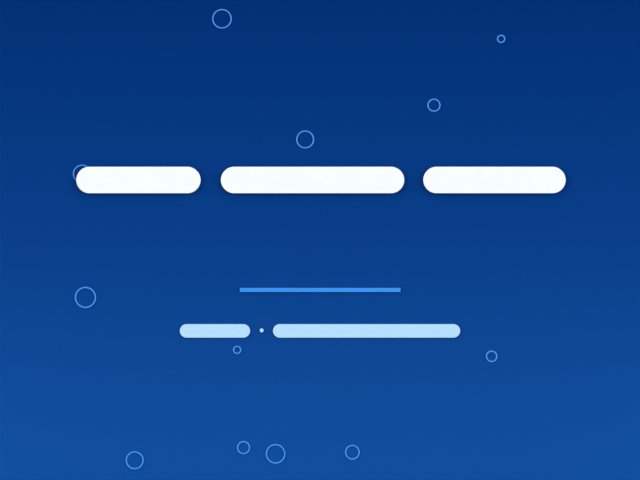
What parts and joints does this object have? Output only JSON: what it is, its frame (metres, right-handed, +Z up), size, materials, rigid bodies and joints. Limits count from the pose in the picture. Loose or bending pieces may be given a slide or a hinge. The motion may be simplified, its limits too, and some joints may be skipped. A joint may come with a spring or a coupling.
{
  "type": "display sign",
  "caption": "Small upright landscape sign: a blue face with raised bubble rings, a short rule and blank heading and caption bars, held by a flat pocketed base on a rubber pad.",
  "frame": {"origin": "middle of the pad's underside, on the surface that the sign stands on", "axes": "+X to the reader's right along the card's long edge, +Y away from the reader, +Z up; the face looks along -Y"},
  "size_m": [0.2, 0.06, 0.1635],
  "materials": {
    "printed_face": "satin",
    "foam_board": "matte",
    "heading_white": "satin",
    "rule_blue": "satin",
    "caption_blue": "satin",
    "ring_blue": "satin",
    "anodised_base": "satin",
    "pad_rubber": "matte"
  },
  "bodies": {
    "root": {"stand_pad": "pad_rubber", "stand_base": "anodised_base", "backing_board": "foam_board", "face_sheet": "printed_face", "centre_rule": "rule_blue", "heading_bar_1": "heading_white", "heading_bar_2": "heading_white", "heading_bar_3": "heading_white", "caption_bar_1": "caption_blue", "caption_dot": "caption_blue", "caption_bar_2": "caption_blue", "bubble_ring_01": "ring_blue", "bubble_ring_02": "ring_blue", "bubble_ring_03": "ring_blue", "bubble_ring_04": "ring_blue", "bubble_ring_05": "ring_blue", "bubble_ring_06": "ring_blue", "bubble_ring_07": "ring_blue", "bubble_ring_08": "ring_blue", "bubble_ring_09": "ring_blue", "bubble_ring_10": "ring_blue", "bubble_ring_11": "ring_blue", "bubble_ring_12": "ring_blue"}
  },
  "joints": []
}
